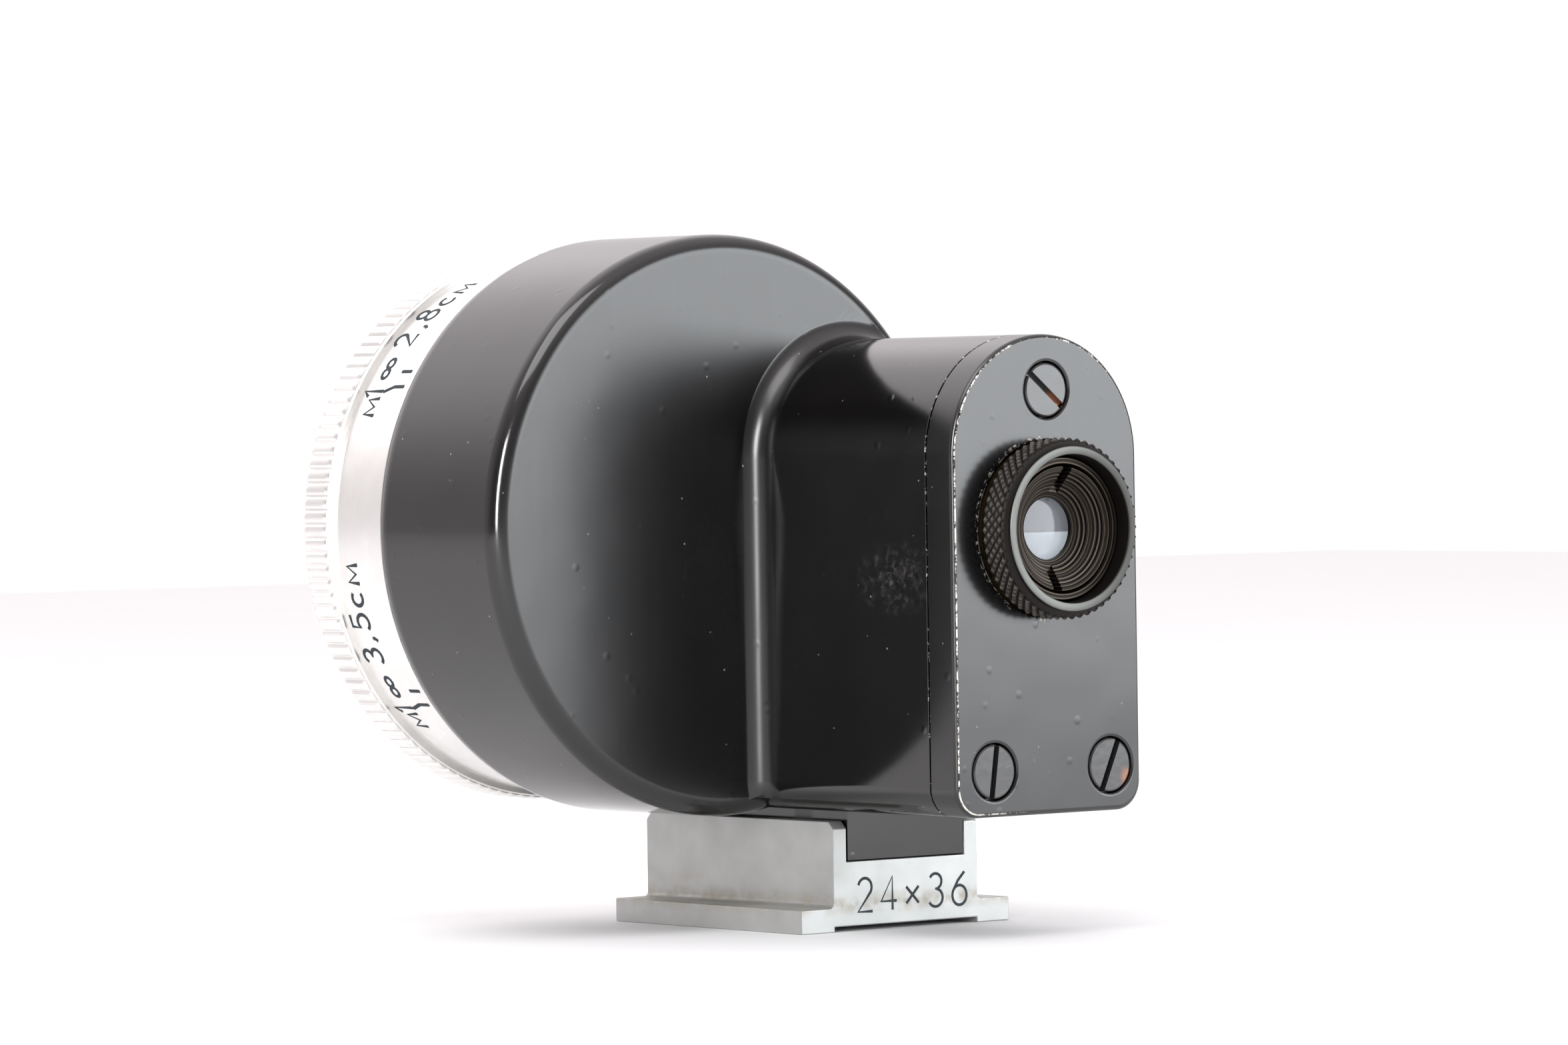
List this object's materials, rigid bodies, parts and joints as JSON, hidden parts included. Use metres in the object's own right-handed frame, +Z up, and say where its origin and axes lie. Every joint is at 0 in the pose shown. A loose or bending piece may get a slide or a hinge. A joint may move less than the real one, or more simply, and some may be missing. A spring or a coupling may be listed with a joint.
{
  "type": "turret viewfinder",
  "caption": "Shoe-mounted optical viewfinder: a knurled turret of objectives on a round drum, a prism box behind it with a focusing eyepiece, and a flat accessory foot.",
  "frame": {"origin": "centre of the bottom of the bounding box, on the plane the foot stands on", "axes": "+Y forward through the objectives, +X to the right of the person looking in, +Z up; all three turned parts of the turret lie on a line along Y at Z = 28 mm"},
  "size_m": [0.04, 0.0474, 0.048],
  "materials": {
    "housing_enamel": "glossy black stove enamel on cast alloy",
    "cover_enamel": "black enamel, a little duller and chipped at the edges",
    "foot_metal": "satin, brushed across",
    "turret_chrome": "satin chrome with a straight knurled rim",
    "knurled_brass": "blackened and knurled, worn bright at the rim",
    "blackened_brass": "blackened, turned",
    "brass": "turned",
    "steel": "turned, bright",
    "spring_steel": "hard, oiled",
    "black_screw": "black paint worn off in the slot",
    "black_anodised": "matt black",
    "plate_anodised": "matt black, turned",
    "lens_glass": "polished, faintly blue",
    "prism_glass": "polished crown glass"
  },
  "bodies": {
    "frame": {"housing": "housing_enamel", "rear_cover": "cover_enamel", "cover_screw_top": "black_screw", "cover_screw_left": "black_screw", "cover_screw_right": "black_screw", "foot": "foot_metal", "foot_screw_rear": "steel", "foot_screw_front": "steel", "turret_axle": "steel", "axle_screw": "steel", "axle_washer": "spring_steel", "detent_block": "brass", "detent_block_screw": "steel", "detent_spring": "spring_steel", "field_mask": "black_anodised", "field_lens": "lens_glass", "field_lens_cell": "black_anodised", "prism_front": "prism_glass", "prism_roof": "prism_glass", "prism_bracket": "black_anodised", "prism_clamp": "spring_steel", "bracket_screw_lower": "steel", "bracket_screw_upper": "steel", "eyepiece_bush": "brass", "guide_pin": "steel"},
    "detent": {"detent_ball": "steel"},
    "turret": {"turret_head": "turret_chrome", "turret_plate": "plate_anodised", "turret_baffle": "black_anodised", "detent_wheel": "steel", "plate_screw_36": "black_screw", "plate_screw_180": "black_screw", "plate_screw_324": "black_screw", "objective_cell_135": "black_anodised", "objective_lens_135": "lens_glass", "objective_ring_135": "black_anodised", "objective_cell_85": "black_anodised", "objective_lens_85": "lens_glass", "objective_ring_85": "black_anodised", "objective_cell_50": "black_anodised", "objective_lens_50": "lens_glass", "objective_ring_50": "black_anodised", "objective_cell_35": "black_anodised", "objective_lens_35": "lens_glass", "objective_ring_35": "black_anodised", "objective_cell_28": "black_anodised", "objective_lens_28": "lens_glass", "objective_ring_28": "black_anodised", "objective_rear_lens_35": "lens_glass", "objective_rear_lens_28": "lens_glass"},
    "eyepiece": {"eyepiece_tube": "blackened_brass", "eyepiece_lens": "lens_glass", "eyepiece_retaining_ring": "blackened_brass"},
    "focus_ring": {"eyepiece_ring": "knurled_brass"}
  },
  "joints": [
    {"name": "turret_turn", "type": "hinge", "parent": "frame", "child": "turret", "pos_m": [0, 0.021, 0.028], "axis": [0, 1, 0], "continuous": true},
    {"name": "detent_push", "type": "slide", "parent": "frame", "child": "detent", "axis": [0, 0, 1], "range_m": [-0.00035, 0], "stiffness_N_per_m": 400, "springref_m": 0.0008, "deforming": ["detent_spring"]},
    {"name": "eyepiece_travel", "type": "slide", "parent": "frame", "child": "eyepiece", "axis": [0, -1, 0], "range_m": [-0.00025, 0.00025]},
    {"name": "focus_turn", "type": "hinge", "parent": "eyepiece", "child": "focus_ring", "pos_m": [0.0107, -0.022, 0.0276], "axis": [0, -1, 0], "range_deg": [-180, 180]}
  ],
  "couplings": [
    {"joint": "focus_turn", "follows": "eyepiece_travel", "rad_per_m": 12566}
  ]
}
